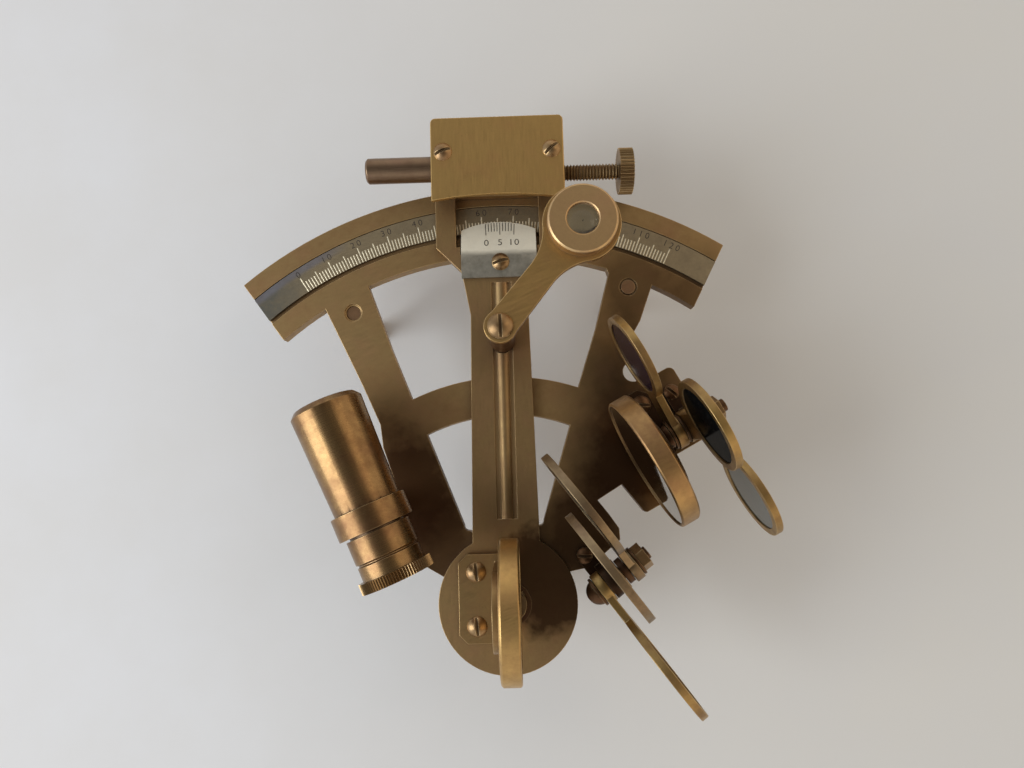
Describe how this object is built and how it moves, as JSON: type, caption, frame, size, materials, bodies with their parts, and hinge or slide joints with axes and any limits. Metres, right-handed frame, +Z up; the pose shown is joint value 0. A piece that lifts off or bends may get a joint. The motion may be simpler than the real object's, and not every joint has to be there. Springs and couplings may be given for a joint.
{
  "type": "nautical sextant",
  "caption": "Small brass sextant on turned feet: engraved arc, swinging index arm with vernier and tangent screw, two mirrors, hinged shades, reading lens and short telescope.",
  "frame": {"origin": "on the index arm's pivot axis, at the flat bottom of the pivot foot, which is the table", "axes": "+Z up along the pivot axis, +Y along the frame's centre line from the pivot towards the limb, +X to the right seen from above"},
  "size_m": [0.0996, 0.1162, 0.0585],
  "materials": {
    "brass": "antique, hand polished, brown in the recesses",
    "dark_brass": "brown patina, unpolished",
    "polished_brass": "turned and lacquered, warm highlights",
    "silvered_brass": "silvered scale, worn and tarnished",
    "steel": "plain spring steel",
    "mirror": "silvered mirror glass",
    "clear_glass": "polished lens",
    "dark_glass": "very dark neutral shade glass",
    "violet_glass": "dark violet shade glass",
    "grey_glass": "pale grey shade glass"
  },
  "bodies": {
    "frame_body": {"frame": "brass", "arc_scale": "silvered_brass", "limb_feet": "brass", "pivot_foot": "brass", "pivot_washer": "dark_brass", "pivot_screw": "dark_brass", "horizon_mirror_bracket": "dark_brass", "horizon_mirror_bezel": "brass", "horizon_mirror_glass": "mirror", "horizon_mirror_screws": "dark_brass", "index_shade_bracket": "dark_brass", "horizon_shade_bracket": "dark_brass", "shade_bracket_screws": "dark_brass", "shade_pins": "dark_brass", "shade_washers": "dark_brass", "index_shade_spacer": "dark_brass", "shade_nuts": "brass"},
    "index_arm": {"index_arm": "brass", "vernier_plate": "silvered_brass", "vernier_screw": "dark_brass", "tangent_housing": "dark_brass", "cover_plate": "brass", "cover_screws": "dark_brass", "spring_barrel": "dark_brass", "tangent_spring": "steel", "magnifier_post": "dark_brass", "magnifier_screw": "dark_brass", "index_mirror_bracket": "dark_brass", "index_mirror_bezel": "brass", "index_mirror_glass": "mirror", "index_mirror_screws": "dark_brass"},
    "plunger": {"spring_plunger": "steel"},
    "tangent_pad": {"tangent_pad": "dark_brass"},
    "tangent_screw": {"tangent_screw": "dark_brass"},
    "clamp_shoe": {"clamp_shoe": "dark_brass"},
    "clamp_screw": {"clamp_screw": "dark_brass"},
    "magnifier": {"magnifier_arm": "polished_brass", "magnifier_bezel": "polished_brass", "magnifier_lens": "clear_glass"},
    "index_shade_1": {"index_shade_1": "brass", "index_glass_1": "dark_glass"},
    "index_shade_2": {"index_shade_2": "brass", "index_glass_2": "dark_glass"},
    "index_shade_3": {"index_shade_3": "brass", "index_glass_3": "grey_glass"},
    "horizon_shade_1": {"horizon_shade_1": "brass", "horizon_glass_1": "violet_glass"},
    "horizon_shade_2": {"horizon_shade_2": "brass", "horizon_glass_2": "dark_glass"},
    "horizon_shade_3": {"horizon_shade_3": "brass", "horizon_glass_3": "grey_glass"},
    "telescope": {"telescope_post": "polished_brass", "telescope_nut": "dark_brass", "telescope_tube": "polished_brass", "objective_lens": "clear_glass"},
    "eyepiece": {"eyepiece_sleeve": "polished_brass", "eyepiece_ring": "polished_brass", "eyepiece_lens": "clear_glass"}
  },
  "joints": [
    {"name": "index_swing", "type": "hinge", "parent": "frame_body", "child": "index_arm", "pos_m": [0, 0, 0.026], "axis": [0, 0, 1], "range_deg": [-17.3, 29.8]},
    {"name": "tangent_travel", "type": "slide", "parent": "index_arm", "child": "tangent_pad", "axis": [0.9988, -0.0488, 0], "range_m": [-0.00127, 0.00127]},
    {"name": "tangent_turn", "type": "hinge", "parent": "tangent_pad", "child": "tangent_screw", "pos_m": [0.02406, 0.08252, 0.0292], "axis": [0.9988, -0.0488, 0], "range_deg": [-720, 720]},
    {"name": "clamp_shift", "type": "hinge", "parent": "index_arm", "child": "clamp_shoe", "pos_m": [0, 0, 0.023], "axis": [0, 0, 1], "range_deg": [-0.9, 0.9]},
    {"name": "plunger_travel", "type": "slide", "parent": "index_arm", "child": "plunger", "axis": [0.9988, -0.0488, 0], "range_m": [-0.00135, 0.00135], "deforming": ["tangent_spring"]},
    {"name": "clamp_turn", "type": "hinge", "parent": "clamp_shoe", "child": "clamp_screw", "pos_m": [0.0039, 0.0797, 0.018], "axis": [0, 0, 1], "range_deg": [-180, 180]},
    {"name": "magnifier_swing", "type": "hinge", "parent": "index_arm", "child": "magnifier", "pos_m": [0.00248, 0.05074, 0.042], "axis": [0, 0, 1], "range_deg": [-3, 45]},
    {"name": "index_shade_1_lift", "type": "hinge", "parent": "frame_body", "child": "index_shade_1", "pos_m": [0.01768, 0.00238, 0.031], "axis": [-0.8261, -0.5635, 0], "range_deg": [-11, 146]},
    {"name": "index_shade_2_lift", "type": "hinge", "parent": "frame_body", "child": "index_shade_2", "pos_m": [0.02049, 0.0043, 0.031], "axis": [-0.8261, -0.5635, 0], "range_deg": [-112, 45]},
    {"name": "index_shade_3_lift", "type": "hinge", "parent": "frame_body", "child": "index_shade_3", "pos_m": [0.02318, 0.00613, 0.031], "axis": [-0.8261, -0.5635, 0], "range_deg": [-155, 2]},
    {"name": "horizon_shade_1_lift", "type": "hinge", "parent": "frame_body", "child": "horizon_shade_1", "pos_m": [0.03398, 0.03003, 0.031], "axis": [-0.9041, -0.4274, 0], "range_deg": [-173, 0]},
    {"name": "horizon_shade_2_lift", "type": "hinge", "parent": "frame_body", "child": "horizon_shade_2", "pos_m": [0.03624, 0.0311, 0.031], "axis": [-0.9041, -0.4274, 0], "range_deg": [-93, 80]},
    {"name": "horizon_shade_3_lift", "type": "hinge", "parent": "frame_body", "child": "horizon_shade_3", "pos_m": [0.03949, 0.03264, 0.031], "axis": [-0.9041, -0.4274, 0], "range_deg": [-11, 162]},
    {"name": "telescope_swivel", "type": "hinge", "parent": "frame_body", "child": "telescope", "pos_m": [-0.0226, 0.0192, 0.024], "axis": [0, 0, 1], "range_deg": [-102.5, 8]},
    {"name": "telescope_focus", "type": "slide", "parent": "telescope", "child": "eyepiece", "axis": [0.3371, -0.9415, 0], "range_m": [-0.0003, 0.0035]}
  ],
  "couplings": [
    {"joint": "tangent_turn", "follows": "tangent_travel", "rad_per_m": 9894.7},
    {"joint": "clamp_shift", "follows": "tangent_travel", "rad_per_m": -11.962},
    {"joint": "plunger_travel", "follows": "tangent_travel", "ratio": 1.0191}
  ]
}
